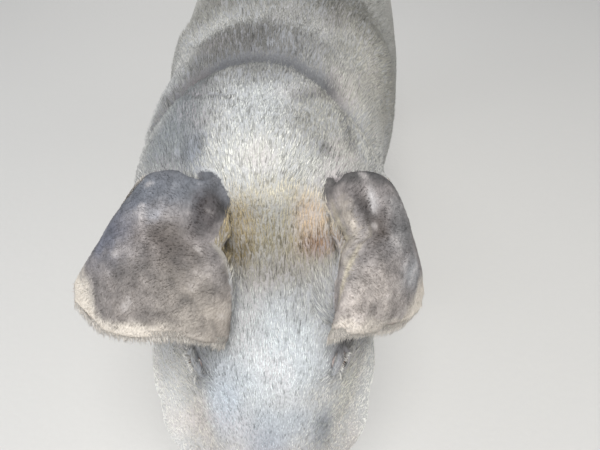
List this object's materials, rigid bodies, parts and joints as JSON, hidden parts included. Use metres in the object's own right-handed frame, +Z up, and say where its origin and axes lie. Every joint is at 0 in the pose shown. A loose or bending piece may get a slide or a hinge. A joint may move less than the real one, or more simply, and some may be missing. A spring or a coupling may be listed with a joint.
{
  "type": "domestic sow model",
  "caption": "Life-size standing lop-eared domestic sow with broad drooping ears, heavy jowls, folded neck, cloven feet and a loosely curled tail.",
  "frame": {"origin": "on the floor, below the middle of the whole animal", "axes": "+Z up; she faces -Y, so +Y runs from head to tail; +X is her left side"},
  "size_m": [0.5119, 1.7689, 0.8852],
  "materials": {
    "hide": "blue-grey skin under short white bristle",
    "ear": "dark mottled skin with white hair and a cream rim",
    "claw": "dull horn",
    "eye": "wet and dark"
  },
  "bodies": {
    "root": {"head": "hide", "neck": "hide", "torso": "hide", "tail": "hide", "foreleg_left": "hide", "foreleg_right": "hide", "hindleg_left": "hide", "hindleg_right": "hide", "ear_left": "ear", "ear_right": "ear", "eye_left": "eye", "eye_right": "eye", "claw_fore_left_inner": "claw", "claw_fore_left_outer": "claw", "claw_fore_right_inner": "claw", "claw_fore_right_outer": "claw", "claw_hind_left_inner": "claw", "claw_hind_left_outer": "claw", "claw_hind_right_inner": "claw", "claw_hind_right_outer": "claw", "dewclaw_fore_left_inner": "claw", "dewclaw_fore_left_outer": "claw", "dewclaw_fore_right_inner": "claw", "dewclaw_fore_right_outer": "claw", "dewclaw_hind_left_inner": "claw", "dewclaw_hind_left_outer": "claw", "dewclaw_hind_right_inner": "claw", "dewclaw_hind_right_outer": "claw"}
  },
  "joints": []
}
